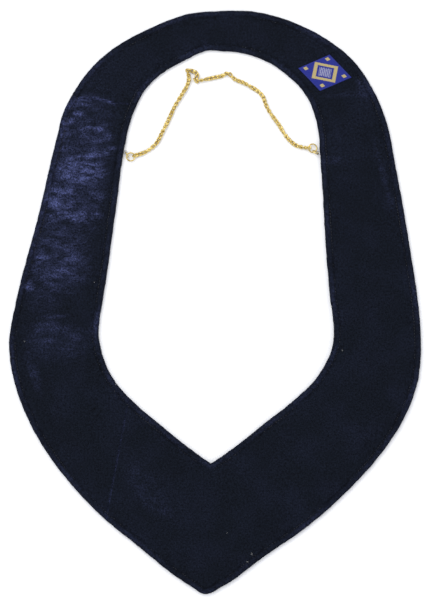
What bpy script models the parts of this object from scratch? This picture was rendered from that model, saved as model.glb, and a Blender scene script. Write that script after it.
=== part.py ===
"""Officer's collar for a lodge: two plies of velvet sewn into a pointed band, with a short neck chain.

The collar lies flat with its back up, so the face ply is underneath. Metres, +Z up, +Y towards the
neck, origin on the surface it lies on, under the middle of its length and width.
"""
import math

import bmesh
import bpy
from mathutils import Matrix, Vector

# Band
LENGTH = 0.600            # from the point to the back of the neck
WIDTH = 0.424             # across the widest part of the two limbs
BAND = 0.0925             # width of the band at the chest, which SECTIONS takes its shares of
SLICE = 0.017             # longest step along the edge between two modelled cross sections

# Cloth
FACE_THICK = 0.0022       # face velvet with its interlining
BACK_THICK = 0.0023       # back velvet and its turned hem
PLY_GAP = 0.0003          # clearance between the two plies
STITCH_INSET = 0.0064     # from either edge to the line of topstitching
SEAM_GAP = 0.0003         # clearance between two pieces of back velvet
SEAM_SLOPE = 0.0045       # how far from a seam or crease the velvet is full height again

# Woven label
LABEL_SIDE = 0.0354       # its upper and lower sides
LABEL_END = 0.0327        # its two other sides
LABEL_THICK = 0.0010
LABEL_GAP = 0.0003        # clearance over the velvet
LABEL_AT = (0.532, 0.787)           # middle, as shares of half the width and half the length
LABEL_TURN = (23.3, -46.1)          # directions of its sides and of its ends, in degrees

# Chain
LINK_LENGTH = 0.0103
LINK_WIDTH = 0.0052
LINK_WIRE = 0.0015
END_RING = 0.0098         # outside diameter of the ring at each end of the chain
END_RING_WIRE = 0.0015
END_RING_HEIGHT = 0.0024  # of the middle of its wire, where the last link and the connector carry it
CONNECTOR = 0.0076        # outside diameter of the small ring between end ring and collar
CONNECTOR_WIRE = 0.0013
THREAD = 0.0006           # thread that loops the connector to the collar's edge
THREAD_PLAY = 0.0007      # clearance round what the thread holds

# Cross sections of the band, anticlockwise on the page from the point up the left limb.
# outer_x, outer_y: outer edge, as shares of half the width and half the length
# band: width along the section, as a share of BAND; across: its direction in degrees
# mark: what crosses the band there
SECTIONS = (
    # outer_x, outer_y, band, across, mark
    (-0.046, -1.000, 1.458, 87.7, "point"),
    (-0.123, -0.970, 1.441, 84.9, ""),
    (-0.393, -0.824, 1.351, 77.6, ""),
    (-0.529, -0.746, 1.392, 79.4, "front seam"),
    (-0.694, -0.627, 1.257, 67.6, ""),
    (-0.839, -0.489, 1.173, 53.7, ""),
    (-0.927, -0.369, 1.115, 40.4, ""),
    (-0.987, -0.232, 1.068, 24.6, ""),
    (-1.000, -0.132, 1.058, 15.9, ""),
    (-0.973, -0.019, 1.015, 10.1, ""),
    (-0.858, 0.298, 0.867, 4.0, ""),
    (-0.767, 0.571, 0.769, -5.0, ""),
    (-0.737, 0.653, 0.760, -6.8, ""),
    (-0.701, 0.703, 0.744, -6.4, "shoulder seam"),
    (-0.631, 0.780, 0.689, -14.0, ""),
    (-0.543, 0.844, 0.645, -21.4, ""),
    (-0.306, 0.944, 0.525, -43.9, ""),
    (-0.125, 0.991, 0.467, -62.0, ""),
    (0.015, 1.000, 0.452, -84.3, ""),
    (0.179, 0.999, 0.482, -104.7, ""),
    (0.441, 0.943, 0.552, -128.6, ""),
    (0.563, 0.894, 0.613, -141.3, ""),
    (0.664, 0.835, 0.658, -151.6, ""),
    (0.781, 0.712, 0.748, -174.9, "crease"),
    (0.830, 0.626, 0.781, 180.0, ""),
    (0.876, 0.471, 0.835, 180.0, ""),
    (0.952, 0.163, 0.946, 180.0, ""),
    (0.985, 0.008, 0.978, 180.0, ""),
    (1.000, -0.136, 0.995, 169.0, ""),
    (0.988, -0.259, 1.026, 159.0, ""),
    (0.937, -0.369, 1.060, 148.3, ""),
    (0.830, -0.496, 1.094, 136.3, ""),
    (0.675, -0.623, 1.154, 125.9, ""),
    (0.470, -0.756, 1.224, 117.0, ""),
    (0.228, -0.876, 1.276, 103.6, ""),
    (0.035, -0.974, 1.454, 90.2, ""),
)

# Border of the back velvet, from the edge inwards
# inset: share of STITCH_INSET; rise: share of BACK_THICK
BACK_BORDER = ((0.0, 0.0), (0.0, 0.28), (0.12, 0.70), (0.5, 0.92), (1.0, 0.60), (1.5, 1.0))
# Border of the face velvet, from its top at the edge down and under
# inset: share of STITCH_INSET; rise: share of FACE_THICK
FACE_BORDER = ((0.0, 1.0), (0.0, 0.55), (0.14, 0.0))
# How high the back velvet stands at a seam and at a crease, as a share of its full height
SEAM_RISE = 0.55
CREASE_RISE = 0.80

# Where the chain is sewn on: row of SECTIONS, share of the way to the next row
CHAIN_LEFT = (10, 0.855)
CHAIN_RIGHT = (24, 0.732)
# Rings at each end, seen from the sewing point, with off the edge as the first direction
# off, beside: middle of the end ring, in shares of END_RING
# turn: direction of the connector, lean: how far it leans from upright, both in degrees
RINGS = {
    "left": {"off": 0.80, "beside": -0.38, "turn": -45.0, "lean": 0.0},
    "right": {"off": 0.72, "beside": -0.55, "turn": -30.0, "lean": 21.6},
}
# Chosen points of the chain's route, as shares of half the width and half the length.
# The first and last are the middles of the end rings.
CHAIN_ROUTE = (
    (-0.411, 0.502), (-0.335, 0.520), (-0.286, 0.548), (-0.256, 0.588), (-0.224, 0.632),
    (-0.195, 0.676), (-0.168, 0.707), (-0.132, 0.758), (-0.128, 0.783), (-0.119, 0.799),
    (-0.107, 0.794), (-0.095, 0.767), (-0.088, 0.757), (-0.053, 0.765),
    (0.000, 0.771), (0.078, 0.778), (0.085, 0.773), (0.119, 0.758), (0.182, 0.745),
    (0.236, 0.695), (0.252, 0.668), (0.270, 0.646), (0.311, 0.606), (0.347, 0.565),
    (0.402, 0.532), (0.475, 0.525),
)
# Roll of the links about the chain's line: share along the chain, degrees
ROLLS = ((0.0, 0.0), (0.15, 0.0), (0.20, 25.0), (0.25, 25.0), (0.30, 0.0), (0.74, 0.0),
         (0.79, 20.0), (0.82, 20.0), (0.87, 0.0), (1.0, 0.0))

FACE_TOP = FACE_THICK
BACK_BASE = FACE_THICK + PLY_GAP
BACK_TOP = BACK_BASE + BACK_THICK
STRAIGHT = LINK_LENGTH - LINK_WIDTH           # between the middles of a link's two end bends
BEND = (LINK_WIDTH - LINK_WIRE) / 2           # radius of an end bend, at the middle of the wire
SEWING_STEP = 0.01                            # share of a row used to find the edge's direction
RING_SIDES = 16                               # straight pieces in a modelled ring
SETTLE_ROUNDS = 400                           # passes that even out the links along the route
RING_RADIUS = (END_RING - END_RING_WIRE) / 2
CONNECTOR_RADIUS = (CONNECTOR - CONNECTOR_WIRE) / 2


def clear_scene():
    for item in list(bpy.data.objects):
        bpy.data.objects.remove(item, do_unlink=True)


def material(name, colour, roughness, metallic=0.0):
    """A plain Principled finish."""
    made = bpy.data.materials.new(name)
    made.use_nodes = True
    shader = made.node_tree.nodes["Principled BSDF"]
    shader.inputs["Base Color"].default_value = (*colour, 1.0)
    shader.inputs["Roughness"].default_value = roughness
    shader.inputs["Metallic"].default_value = metallic
    return made


def place(name, data, finish):
    """Put one piece in the scene with its own finish."""
    data.materials.append(finish)
    item = bpy.data.objects.new(name, data)
    bpy.context.collection.objects.link(item)
    return item


def direction(degrees):
    angle = math.radians(degrees)
    return Vector((math.cos(angle), math.sin(angle), 0.0))


def from_shares(x_share, y_share):
    return Vector((x_share * WIDTH / 2, y_share * LENGTH / 2, 0.0))


class Curve:
    """A smooth curve through points, open or closed, that can keep a corner where it closes."""

    def __init__(self, points, closed=False):
        self.points = points
        self.spans = [(b - a).length for a, b in zip(points, points[1:])]
        inner = [self.slope_between(i - 1, i, i + 1) for i in range(1, len(points) - 1)]
        first = (points[1] - points[0]) / self.spans[0]
        last = (points[-1] - points[-2]) / self.spans[-1]
        if closed:
            first = last = (first + last) / 2
        self.slopes = [first] + inner + [last]

    def slope_between(self, before, here, after):
        back, ahead = self.spans[before], self.spans[here]
        rise_back = (self.points[here] - self.points[before]) / back
        rise_ahead = (self.points[after] - self.points[here]) / ahead
        return (rise_back * ahead + rise_ahead * back) / (back + ahead)

    def at(self, row, share):
        """The point a share of the way from one row to the next."""
        span = self.spans[row]
        square, cube = share ** 2, share ** 3
        return (
            (2 * cube - 3 * square + 1) * self.points[row]
            + (cube - 2 * square + share) * span * self.slopes[row]
            + (3 * square - 2 * cube) * self.points[row + 1]
            + (cube - square) * span * self.slopes[row + 1]
        )


def band_edges():
    """The collar's outer edge, rounded at the point, and its inner edge, sharp at the V."""
    outer, inner = [], []
    for x_share, y_share, band, across, _mark in SECTIONS + SECTIONS[:1]:
        start = from_shares(x_share, y_share)
        outer.append(start)
        inner.append(start + direction(across) * band * BAND)
    return Curve(outer, closed=True), Curve(inner)


def row_of(mark):
    return next(index for index, row in enumerate(SECTIONS) if row[4] == mark)


def stations(edges, first, last, closed):
    """Cross sections from one row to another, closer together where a crease crosses the band."""
    outer, inner = edges
    rows = len(SECTIONS)
    made = []
    if not closed:
        made.append(beside_row(edges, first, SEAM_GAP / 2, SEAM_RISE))
    row = first
    while True:
        if SECTIONS[row][4] == "crease":
            made.append(beside_row(edges, row, -SEAM_SLOPE, 1.0))
            made.append(beside_row(edges, row, 0.0, CREASE_RISE))
        elif closed or row != first:
            made.append(beside_row(edges, row, 0.0, 1.0))
        if SECTIONS[row][4] == "crease" or (not closed and row == first):
            made.append(beside_row(edges, row, SEAM_SLOPE, 1.0))
        slices = max(1, round(outer.spans[row] / SLICE))
        for step in range(1, slices):
            share = step / slices
            made.append((outer.at(row, share), inner.at(row, share), 1.0))
        row = (row + 1) % rows
        if row == last:
            break
    if not closed:
        made.append(beside_row(edges, last, -SEAM_SLOPE, 1.0))
        made.append(beside_row(edges, last, -SEAM_GAP / 2, SEAM_RISE))
    return made


def beside_row(edges, row, distance, rise):
    """A cross section a distance along the edge from a row, and the height of the velvet there."""
    points = []
    for edge in edges:
        if distance < 0:
            before = (row - 1) % len(SECTIONS)
            points.append(edge.at(before, 1 + distance / edge.spans[before]))
        else:
            points.append(edge.at(row, distance / edge.spans[row]))
    return points[0], points[1], rise


def obliqueness(made, index, side, across, closed):
    """Cosine between the section's direction and the square across the edge, at one edge."""
    count = len(made)
    found = []
    for near, far in ((index - 1, index), (index, index + 1)):
        if not closed and (near < 0 or far >= count):
            continue
        along = (made[far % count][side] - made[near % count][side]).normalized()
        found.append(abs(along.x * across.y - along.y * across.x))
    return sum(found) / len(found)


def cross_sections(made, border, base, thick, middles, closed):
    """Points round each cross section: up over the top from inner to outer edge."""
    rings = []
    for index, (outer, inner, rise) in enumerate(made):
        width = (outer - inner).length
        across = (outer - inner) / width
        inner_stretch = STITCH_INSET / obliqueness(made, index, 1, across, closed)
        outer_stretch = STITCH_INSET / obliqueness(made, index, 0, across, closed)
        profile = [(inset * inner_stretch, height) for inset, height in border]
        far_side = [(width - inset * outer_stretch, height) for inset, height in reversed(border)]
        start, end = profile[-1][0], far_side[0][0]
        for step in range(1, middles + 1):
            profile.append((start + (end - start) * step / (middles + 1), profile[-1][1]))
        ring = []
        for along, height in profile + far_side:
            point = inner + across * along
            point.z = base + thick * height * rise
            ring.append(point)
        rings.append(ring)
    return rings


def loft(name, rings, closed):
    """A solid skinned over its cross sections, closed on itself or capped at both ends."""
    shape = bmesh.new()
    lines = [[shape.verts.new(point) for point in ring] for ring in rings]
    pairs = list(zip(lines, lines[1:]))
    if closed:
        pairs.append((lines[-1], lines[0]))
    for first, second in pairs:
        for a in range(len(first)):
            b = (a + 1) % len(first)
            shape.faces.new((first[a], first[b], second[b], second[a]))
    if not closed:
        shape.faces.new(lines[0])
        shape.faces.new(lines[-1])
    bmesh.ops.recalc_face_normals(shape, faces=shape.faces)
    mesh = bpy.data.meshes.new(name)
    shape.to_mesh(mesh)
    shape.free()
    return mesh


def make_velvet(edges):
    """Face ply all round, and the two pieces of back velvet that meet at two seams."""
    navy = material("navy_velvet", (0.009, 0.014, 0.030), 0.95)
    under = stations(edges, 0, 0, closed=True)
    rings = cross_sections(under, FACE_BORDER[::-1], 0.0, FACE_THICK, 0, closed=True)
    place("front_velvet", loft("front_velvet", rings, closed=True), navy)
    front_seam, shoulder_seam = row_of("front seam"), row_of("shoulder seam")
    for name, first, last in (
        ("back_velvet_left", front_seam, shoulder_seam),
        ("back_velvet_main", shoulder_seam, front_seam),
    ):
        top = stations(edges, first, last, closed=False)
        rings = cross_sections(top, BACK_BORDER, BACK_BASE, BACK_THICK, 1, closed=False)
        place(name, loft(name, rings, closed=False), navy)


def make_label():
    """Skewed woven label, sewn on beside the neck."""
    half_side = direction(LABEL_TURN[0]) * LABEL_SIDE / 2
    half_end = direction(LABEL_TURN[1]) * LABEL_END / 2
    middle = from_shares(*LABEL_AT)
    middle.z = BACK_TOP + LABEL_GAP
    shape = bmesh.new()
    corners = [middle + half_side * a + half_end * b for a, b in ((1, 1), (-1, 1), (-1, -1), (1, -1))]
    bottom = shape.faces.new([shape.verts.new(corner) for corner in corners])
    top = bmesh.ops.extrude_face_region(shape, geom=[bottom])["geom"]
    raised = [part for part in top if isinstance(part, bmesh.types.BMVert)]
    bmesh.ops.translate(shape, verts=raised, vec=(0.0, 0.0, LABEL_THICK))
    lid = [edge for edge in shape.edges if all(vert in raised for vert in edge.verts)]
    bmesh.ops.bevel(shape, geom=lid, offset=LABEL_THICK / 2, segments=2, profile=0.5, affect="EDGES")
    bmesh.ops.recalc_face_normals(shape, faces=shape.faces)
    mesh = bpy.data.meshes.new("woven_label")
    shape.to_mesh(mesh)
    shape.free()
    place("woven_label", mesh, material("woven_label", (0.04, 0.06, 0.36), 0.7))


def wire_shape(name, points, wire, cyclic=True):
    """A six-sided wire along points, closed on itself or with filled ends."""
    shape = bpy.data.curves.new(name, "CURVE")
    shape.dimensions = "3D"
    shape.bevel_depth = wire / 2
    shape.bevel_resolution = 1
    shape.use_fill_caps = not cyclic
    line = shape.splines.new("POLY")
    line.points.add(len(points) - 1)
    for spot, point in zip(line.points, points):
        spot.co = (*point, 1.0)
    line.use_cyclic_u = cyclic
    return shape


def circle(radius, count):
    return [direction(360 * step / count) * radius for step in range(count)]


def link_outline(bend_steps=5):
    """Middle of a link's wire: two half circles joined by two straights, in the XY plane."""
    points = []
    for end in (1, -1):
        for step in range(bend_steps + 1):
            turn = 90 * (1 - end) - 90 + 180 * step / bend_steps
            points.append(Vector((end * STRAIGHT / 2, 0.0, 0.0)) + direction(turn) * BEND)
    return points


def sewing_frames(edges):
    """Frames where the ends of the chain are sewn on: X off the edge into the opening, Z up."""
    inner = edges[1]
    up = Vector((0.0, 0.0, 1.0))
    found = {}
    for side, (row, share) in (("left", CHAIN_LEFT), ("right", CHAIN_RIGHT)):
        spot = inner.at(row, share)
        along = inner.at(row, share + SEWING_STEP) - spot
        off = along.cross(up).normalized()
        frame = Matrix((off, up.cross(off), up)).transposed().to_4x4()
        frame.translation = spot
        found[side] = frame
    return found


def make_rings(sewing, gold, thread):
    """Thread loop, connector and end ring at each end; gives the middles of the end rings."""
    loop_radius = CONNECTOR_WIRE / 2 + THREAD_PLAY + THREAD / 2
    reach = PLY_GAP + CONNECTOR_WIRE
    height = (FACE_TOP + BACK_BASE) / 2
    bend = [Vector((reach, 0, 0)) + direction(turn) * loop_radius for turn in range(-90, 91, 30)]
    legs = [Vector((PLY_GAP, sign * loop_radius, 0)) for sign in (-1, 1)]
    middles = {}
    for side, frame in sewing.items():
        settings = RINGS[side]
        loop = wire_shape("thread_loop_" + side, [legs[0]] + bend + [legs[1]], THREAD, cyclic=False)
        item = place("thread_loop_" + side, loop, thread)
        item.matrix_world = frame @ Matrix.Translation((0, 0, height))

        lean, turn = math.radians(settings["lean"]), math.radians(settings["turn"])
        middle_height = CONNECTOR_RADIUS * math.cos(lean) + CONNECTOR_WIRE / 2
        rise = (height - middle_height) / math.cos(lean)
        heading = direction(settings["turn"])
        aside = Vector((-heading.y, heading.x, 0.0))
        middle = heading * math.sqrt(CONNECTOR_RADIUS ** 2 - rise ** 2) - aside * rise * math.sin(lean)
        middle += Vector((reach, 0.0, middle_height))
        ring = wire_shape("connector_ring_" + side, circle(CONNECTOR_RADIUS, RING_SIDES), CONNECTOR_WIRE)
        item = place("connector_ring_" + side, ring, gold)
        item.matrix_world = (
            frame @ Matrix.Translation(middle) @ Matrix.Rotation(turn, 4, "Z")
            @ Matrix.Rotation(math.pi / 2 - lean, 4, "X")
        )

        end = Vector((settings["off"] * END_RING, settings["beside"] * END_RING, END_RING_HEIGHT))
        ring = wire_shape("end_ring_" + side, circle(RING_RADIUS, RING_SIDES), END_RING_WIRE)
        item = place("end_ring_" + side, ring, gold)
        item.matrix_world = frame @ Matrix.Translation(end)
        middles[side] = frame @ end
    return middles


def chain_path(middles):
    """A fine path through the route, pulled to where the end rings really are."""
    chosen = [from_shares(*pair) for pair in CHAIN_ROUTE]
    left = middles["left"].xy.to_3d() - chosen[0]
    right = middles["right"].xy.to_3d() - chosen[-1]
    last = len(chosen) - 1
    points = [point + left * (1 - i / last) + right * (i / last) for i, point in enumerate(chosen)]
    inset = RING_RADIUS - BEND
    points[0] = points[0] + (points[1] - points[0]).normalized() * inset
    points[-1] = points[-1] + (points[-2] - points[-1]).normalized() * inset
    route = Curve(points)
    fine = 24
    path = [route.at(row, step / fine) for row in range(last) for step in range(fine)]
    return path + [points[-1]]


def roll_at(share):
    """Roll of the chain a share of the way along it, in degrees."""
    for (start, low), (end, high) in zip(ROLLS, ROLLS[1:]):
        if share <= end:
            return low + (high - low) * (share - start) / (end - start)
    return ROLLS[-1][1]


def fit_links(path):
    """Rolls of the links, and the stops between them, which share out the path's length."""
    steps = [(b - a).length for a, b in zip(path, path[1:])]
    pair = 2 * (STRAIGHT + BEND)
    count = 2 * math.ceil((sum(steps) - STRAIGHT - 2 * BEND) / pair) + 1
    rolls = [roll_at((link + 0.5) / count) + 90 * (1 - link % 2) for link in range(count)]
    reaches = [STRAIGHT + 2 * BEND * math.sin(math.radians(roll)) ** 2 for roll in rolls]
    stretch = sum(steps) / sum(reaches)
    stops, index, passed, goal = [path[0]], 0, 0.0, 0.0
    for reach in reaches[:-1]:
        goal += reach * stretch
        while passed + steps[index] < goal:
            passed += steps[index]
            index += 1
        stops.append(path[index].lerp(path[index + 1], (goal - passed) / steps[index]))
    stops.append(path[-1])
    settle(stops, [reach * stretch for reach in reaches])
    return stops, rolls


def settle(stops, reaches):
    """Ease the stops between the two ends until each link spans its own reach, also in a bend."""
    for _round in range(SETTLE_ROUNDS):
        for index, reach in enumerate(reaches):
            gap = stops[index + 1] - stops[index]
            push = gap * ((gap.length - reach) / gap.length / 2)
            if index > 0:
                stops[index] = stops[index] + push
            if index + 1 < len(reaches):
                stops[index + 1] = stops[index + 1] - push


def make_chain(path, gold):
    """Interlocked oval links, every other one turned a quarter round."""
    stops, rolls = fit_links(path)
    shape = wire_shape("chain_link", link_outline(), LINK_WIRE)
    shape.materials.append(gold)
    for number, (start, end, roll) in enumerate(zip(stops, stops[1:], rolls), 1):
        tilt = math.radians(roll)
        middle = (start + end) / 2
        middle.z = BEND * max(abs(math.sin(tilt)), abs(math.cos(tilt))) + LINK_WIRE / 2
        turn = math.atan2(end.y - start.y, end.x - start.x)
        item = bpy.data.objects.new(f"chain_link_{number:02d}", shape)
        bpy.context.collection.objects.link(item)
        item.matrix_world = (
            Matrix.Translation(middle) @ Matrix.Rotation(turn, 4, "Z") @ Matrix.Rotation(tilt, 4, "X")
        )


def main():
    clear_scene()
    edges = band_edges()
    make_velvet(edges)
    make_label()
    gold = material("gold_plate", (0.66, 0.47, 0.16), 0.3, metallic=1.0)
    thread = material("sewing_thread", (0.05, 0.05, 0.07), 0.8)
    middles = make_rings(sewing_frames(edges), gold, thread)
    make_chain(chain_path(middles), gold)


main()
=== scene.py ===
"""Lodge officer's collar: the looks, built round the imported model.

The collar lies on its face with its back up. Two plies of velvet are topstitched along a rolled
edge, a woven label is sewn on beside the neck, and a gold coloured chain lies slack in the opening.
"""

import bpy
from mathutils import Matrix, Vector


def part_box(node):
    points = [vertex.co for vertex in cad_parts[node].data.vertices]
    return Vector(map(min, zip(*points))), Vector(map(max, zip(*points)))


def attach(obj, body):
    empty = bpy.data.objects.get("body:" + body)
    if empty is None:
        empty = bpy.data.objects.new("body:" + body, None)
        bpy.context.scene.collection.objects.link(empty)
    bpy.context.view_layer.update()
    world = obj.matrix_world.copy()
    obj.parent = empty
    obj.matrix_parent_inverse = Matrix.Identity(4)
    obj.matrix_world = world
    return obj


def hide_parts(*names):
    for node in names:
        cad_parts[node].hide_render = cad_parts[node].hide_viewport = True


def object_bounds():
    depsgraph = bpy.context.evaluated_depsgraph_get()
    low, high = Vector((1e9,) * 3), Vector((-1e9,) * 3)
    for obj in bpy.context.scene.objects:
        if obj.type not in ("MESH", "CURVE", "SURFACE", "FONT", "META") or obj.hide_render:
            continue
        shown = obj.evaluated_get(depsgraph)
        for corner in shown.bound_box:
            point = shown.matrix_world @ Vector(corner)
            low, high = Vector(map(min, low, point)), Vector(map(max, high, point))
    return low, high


bl_info = {
    "name": "Lodge Officer's Collar",
    "version": (1, 0, 0),
    "blender": (4, 5, 0),
    "location": "3D View > Sidebar > Collar",
    "description": "Builds a velvet officer's collar with its label and chain around its solids",
    "category": "Add Mesh",
}

import math
from collections import defaultdict

import bpy
import numpy as np
from bpy.props import FloatProperty, FloatVectorProperty, IntProperty, PointerProperty
from mathutils import Vector

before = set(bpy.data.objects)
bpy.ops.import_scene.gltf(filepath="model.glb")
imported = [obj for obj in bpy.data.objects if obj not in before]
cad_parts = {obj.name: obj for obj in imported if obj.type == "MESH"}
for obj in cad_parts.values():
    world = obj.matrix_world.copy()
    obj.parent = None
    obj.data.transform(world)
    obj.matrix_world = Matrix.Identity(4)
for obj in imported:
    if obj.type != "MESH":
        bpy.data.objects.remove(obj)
CAD_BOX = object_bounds()

MM = 0.001

# Cloth, all in millimetres
FACE_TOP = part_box("front_velvet")[1].z / MM
BACK_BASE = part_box("back_velvet_main")[0].z / MM
BACK_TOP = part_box("back_velvet_main")[1].z / MM
GRID_STEP = 1.5             # along the edge between two rows of the modelled velvet
EDGE_STEP = 0.55            # between columns near an edge
EDGE_BAND = 9.0             # how far in the columns are that close
MIDDLE_COLUMNS = 24         # over the rest of the band
UNDER_STEP = 6              # columns of the upper side to one of the underside
SEAM_REACH = 0.4            # two back pieces within this of a point meet there
EDGE_WAVE = 0.45            # how far the sewn edge draws in
EDGE_ROLL = 2.3             # how far in from its edge the back velvet rolls over
FACE_ROLL = 0.9             # the same for the face ply
SOFT_REACH = 5.0            # how far in the swells and folds reach their full height
STITCH_INSET = 6.4          # from either edge to the topstitching
GROOVE_DEEP = 0.85          # how far the topstitching pulls the velvet down
GROOVE_WIDE = 0.8           # from the middle of that groove to its sides
PUFF_REACH = 9.0            # from the stitching to where the band is at its highest
GATHER_WIDE = 6.0           # how far from the stitching the gathers reach
SWELL_HIGH = 0.25           # slow waves across the whole band
SWELL_REACH = 12.0          # how far in they are at their highest
SEAM_DEEP = 0.5             # how far the velvet dips at a seam between two pieces
SEAM_WIDE = 1.4             # from the middle of that dip to its sides
SEAM_ROLL = 1.2             # over which each piece turns down at the seam
SEAM_START = 0.6            # how much of that turn is hidden in the seam

# Parted pile: how much lighter its painted highlight is, as a share of the crushed sheen colour
EDGE_SHINE = 0.085
EDGE_SHINE_AT = 3.0         # how far in from the edge it is strongest, in millimetres
FRONT_SEAM_SHINE = 0.22
SHOULDER_SEAM_SHINE = 0.10
GROOVE_SHADE = 0.45         # how much darker the pile is down in the stitched groove

# Crushed pile: where the nap is pressed flat, with its sheen painted in as a lighter colour.
# Each row: x, y of its middle; length and width; degrees that it is turned; share of full
CRUSHED_SHEEN = (
    (-149.0, 108.0, 62.0, 215.0, -14.0, 0.20),
    (-132.0, 150.5, 48.0, 7.0, 8.0, 0.80),
    (-139.0, 134.0, 50.0, 26.0, 0.0, 0.85),
    (-158.0, 108.0, 32.0, 30.0, 20.0, 0.72),
    (-139.0, 89.0, 16.0, 12.0, 0.0, 1.00),
    (-158.0, 90.0, 34.0, 8.0, 2.0, 0.65),
    (-124.0, 89.0, 16.0, 8.0, 0.0, 0.40),
    (-124.0, 108.0, 18.0, 28.0, 0.0, 0.28),
    (-151.0, 186.0, 14.0, 9.0, 10.0, 0.75),
    (-127.0, 178.5, 28.0, 9.0, -4.0, 0.60),
    (-111.0, 172.0, 11.0, 11.0, 0.0, 0.50),
    (-119.0, 166.0, 24.0, 5.0, 8.0, 0.40),
    (-154.0, 174.0, 12.0, 15.0, 0.0, 0.50),
    (-155.0, 158.0, 12.0, 6.0, 10.0, 0.50),
    (-109.0, 158.0, 16.0, 5.0, 8.0, 0.42),
    (-139.0, 193.5, 14.0, 6.0, -15.0, 0.50),
    (-138.0, 206.0, 30.0, 12.0, 0.0, 0.30),
    (-150.0, 201.0, 20.0, 8.0, 40.0, 0.35),
    (-182.0, 44.0, 11.0, 10.0, 0.0, 0.60),
    (-149.0, 43.0, 24.0, 10.0, 0.0, 0.52),
    (-160.0, 30.0, 28.0, 11.0, 0.0, 0.50),
    (-190.0, 17.0, 11.0, 10.0, 0.0, 0.60),
    (-161.0, 45.0, 60.0, 70.0, 0.0, 0.26),
    (-178.0, -38.5, 30.0, 5.0, 3.0, 0.24),
    (-168.0, -14.0, 34.0, 4.0, 2.0, 0.20),
    (-172.0, -26.0, 30.0, 16.0, 0.0, 0.16),
    (-142.0, -33.0, 22.0, 14.0, 4.0, 0.16),
    (-160.0, -40.0, 60.0, 40.0, 0.0, 0.09),
    (-122.0, -20.0, 34.0, 9.0, 75.0, 0.12),
    (155.0, 222.0, 22.0, 20.0, -50.0, 0.12),
    (118.0, 146.0, 24.0, 10.0, 10.0, 0.10),
    (173.0, 130.0, 70.0, 5.0, -75.0, 0.08),
    (-68.0, -195.0, 70.0, 26.0, -52.0, 0.07),
    (-186.0, -72.0, 44.0, 9.0, -72.0, 0.12),
)
# Creases pressed across the band.
# Each row: x, y of one end and of the other; height of the fold; its width; how much painted highlight
# its crest gets
CREASES = (
    (-147.5, 203.6, -125.5, 202.0, 0.35, 1.8, 0.36),
    (-143.5, 209.0, -128.5, 211.0, 0.20, 1.7, 0.48),
    (-129.0, 211.2, -101.5, 203.2, 0.20, 1.4, 0.62),
    (112.0, 212.0, 160.0, 213.5, 0.40, 5.0, 0.04),
    (-10.0, 270.0, -14.0, 243.0, 0.25, 5.0, 0.05),
)
# Specks of lint. Each row: x, y; size across
LINT = (
    (-195.5, -39.5, 1.5),
    (130.7, -49.0, 1.6),
    (38.0, -257.8, 2.8),
    (33.0, -266.0, 1.7),
    (-101.8, -84.0, 1.2),
    (-124.0, 21.0, 0.9),
    (12.0, -236.5, 1.1),
)

# Thread and stitches, in millimetres
THREAD_WIDE = 0.42
STITCH_LONG = 2.5
STITCH_PITCH = 3.1
STITCH_DOWN = 0.95          # from the top of the pile down to the floor of the groove
STITCH_DIPS = (-0.42, -0.08, 0.0, -0.08, -0.42)     # heights along one stitch
STITCH_TAPER = (0.6, 1.0, 1.05, 1.0, 0.6)           # its thickness there, as a share
HAIR_WIDE = 0.10            # loose pile on the edges
HAIR_STEP = 0.8             # between two hairs
LINT_WIDE = 0.18            # one fibre of it
LINT_STRANDS = 7
LABEL_STITCH_INSET = 1.1
LABEL_STITCH_PITCH = 1.9
LABEL_STITCH_LONG = 1.5
LABEL_THREAD_WIDE = 0.28
LOOP_TURNS = 4              # turns of thread round each connector
LOOP_LIFT = 0.16            # between one turn and the next
LOOP_SHARE = 3.2            # a turn's radius goes this many times into the solid's thickness

# Small curb links of the chain, in millimetres; nearly two of them to one of the solids' links
CURB_LONG = 7.4
CURB_WIDE = 4.3
CURB_WIRE = 1.6
CURB_PITCH = 4.2
CURB_TWIST = 1.5            # how far the corners of a link stand out of its plane
CURB_SQUARE = 0.86          # 1 is an oval; less is squarer
CURB_ROLL = 50.0            # degrees that the chain turns about its own line
CURB_WAVES = ((47.0, 1.0), (18.0, 0.5))     # length of each such turn, and its share of the degrees
CURB_UNEVEN = 7.0           # degrees that single links differ
LINK_STEPS = 28
RING_STEPS = 40
WIRE_SIDES = 10
# Where the chain doubles back in a small fold, and the kink after it: x, y
FOLD = (
    (-29.6, 221.0), (-27.2, 227.0), (-26.6, 232.4), (-28.0, 236.5), (-28.2, 239.2), (-25.4, 239.2),
    (-21.1, 237.3), (-17.9, 235.2), (-18.8, 231.8), (-20.8, 228.6), (-17.1, 228.2), (-12.6, 229.1),
    (-5.0, 230.6), (1.5, 232.0), (6.0, 232.8), (10.5, 234.6), (14.0, 236.6), (17.0, 232.9),
    (20.5, 229.6), (24.8, 227.8), (29.1, 226.4), (39.2, 220.7), (43.6, 218.0), (47.2, 214.8),
    (50.2, 210.6),
)

# Label, in millimetres
LABEL_THICK = 0.75
LABEL_STEPS = 72
LABEL_WAVE = 0.16           # how far it lies up and down, and is pulled in by its stitches
LOZENGE = 12.6              # from its middle to its points
LOZENGE_WIDE = 4.6
CORNER_AT = 12.2            # middles of the small squares from the label's middle
CORNER_HALF = 1.8

# Photograph: places in the picture that set the camera, in its own pixels
PHOTO_WIDE, PHOTO_TALL = 432, 608
PHOTO_LEFT, PHOTO_RIGHT = 8.8, 421.2
PHOTO_MIDDLE = (215.0, 302.45)

# Stage, in metres
CAMERA_HEIGHT = 2.4         # over the collar
FLOOR_HALF = 9.0
FLOOR_GAP = 0.0004          # between the floor and the face ply

SETTINGS = "officer_collar"


def linear(hex_colour):
    """Linear RGBA from an sRGB hex colour such as #1a2b3c."""
    parts = [int(hex_colour[start:start + 2], 16) / 255 for start in (1, 3, 5)]
    turned = [part / 12.92 if part <= 0.04045 else ((part + 0.055) / 1.055) ** 2.4 for part in parts]
    return (*turned, 1.0)


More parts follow.
